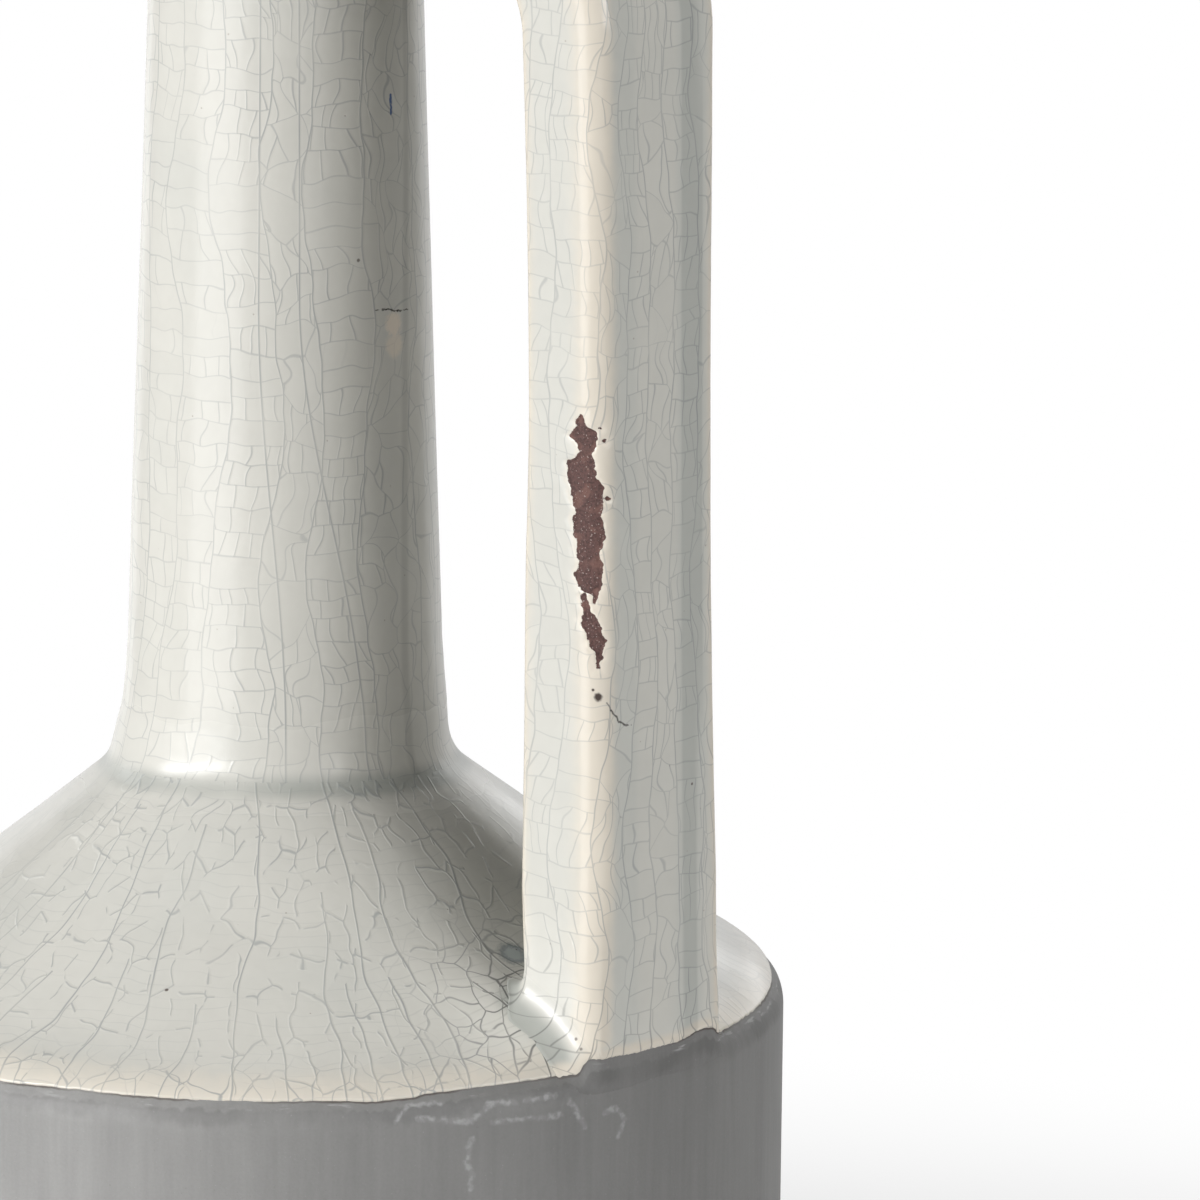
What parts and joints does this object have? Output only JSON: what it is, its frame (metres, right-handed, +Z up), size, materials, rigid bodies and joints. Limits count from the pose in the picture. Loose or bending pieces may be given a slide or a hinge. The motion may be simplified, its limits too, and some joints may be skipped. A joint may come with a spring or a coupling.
{
  "type": "jug vase",
  "caption": "Tall jug vase: matt grey cylinder, crackle-glazed conical shoulder, long tapering neck and a straight strap handle bent in to the neck.",
  "frame": {"origin": "centre of the foot ring's underside, on the surface that the vase stands on", "axes": "+Z up along the axis of the body and neck, +X towards the handle"},
  "size_m": [0.1916, 0.1916, 0.4063],
  "materials": {
    "crackle_glaze": "glossy pale celadon-white glaze with a fine blue-grey crackle",
    "bare_stoneware": "matt mid-grey slip with fine brushed streaks and light scuffs"
  },
  "bodies": {
    "root": {"foot_ring": "bare_stoneware", "base_floor": "bare_stoneware", "body_wall": "bare_stoneware", "shoulder": "crackle_glaze", "neck": "crackle_glaze", "mouth_rim": "crackle_glaze", "handle_upright": "crackle_glaze", "handle_bridge": "crackle_glaze"}
  },
  "joints": []
}
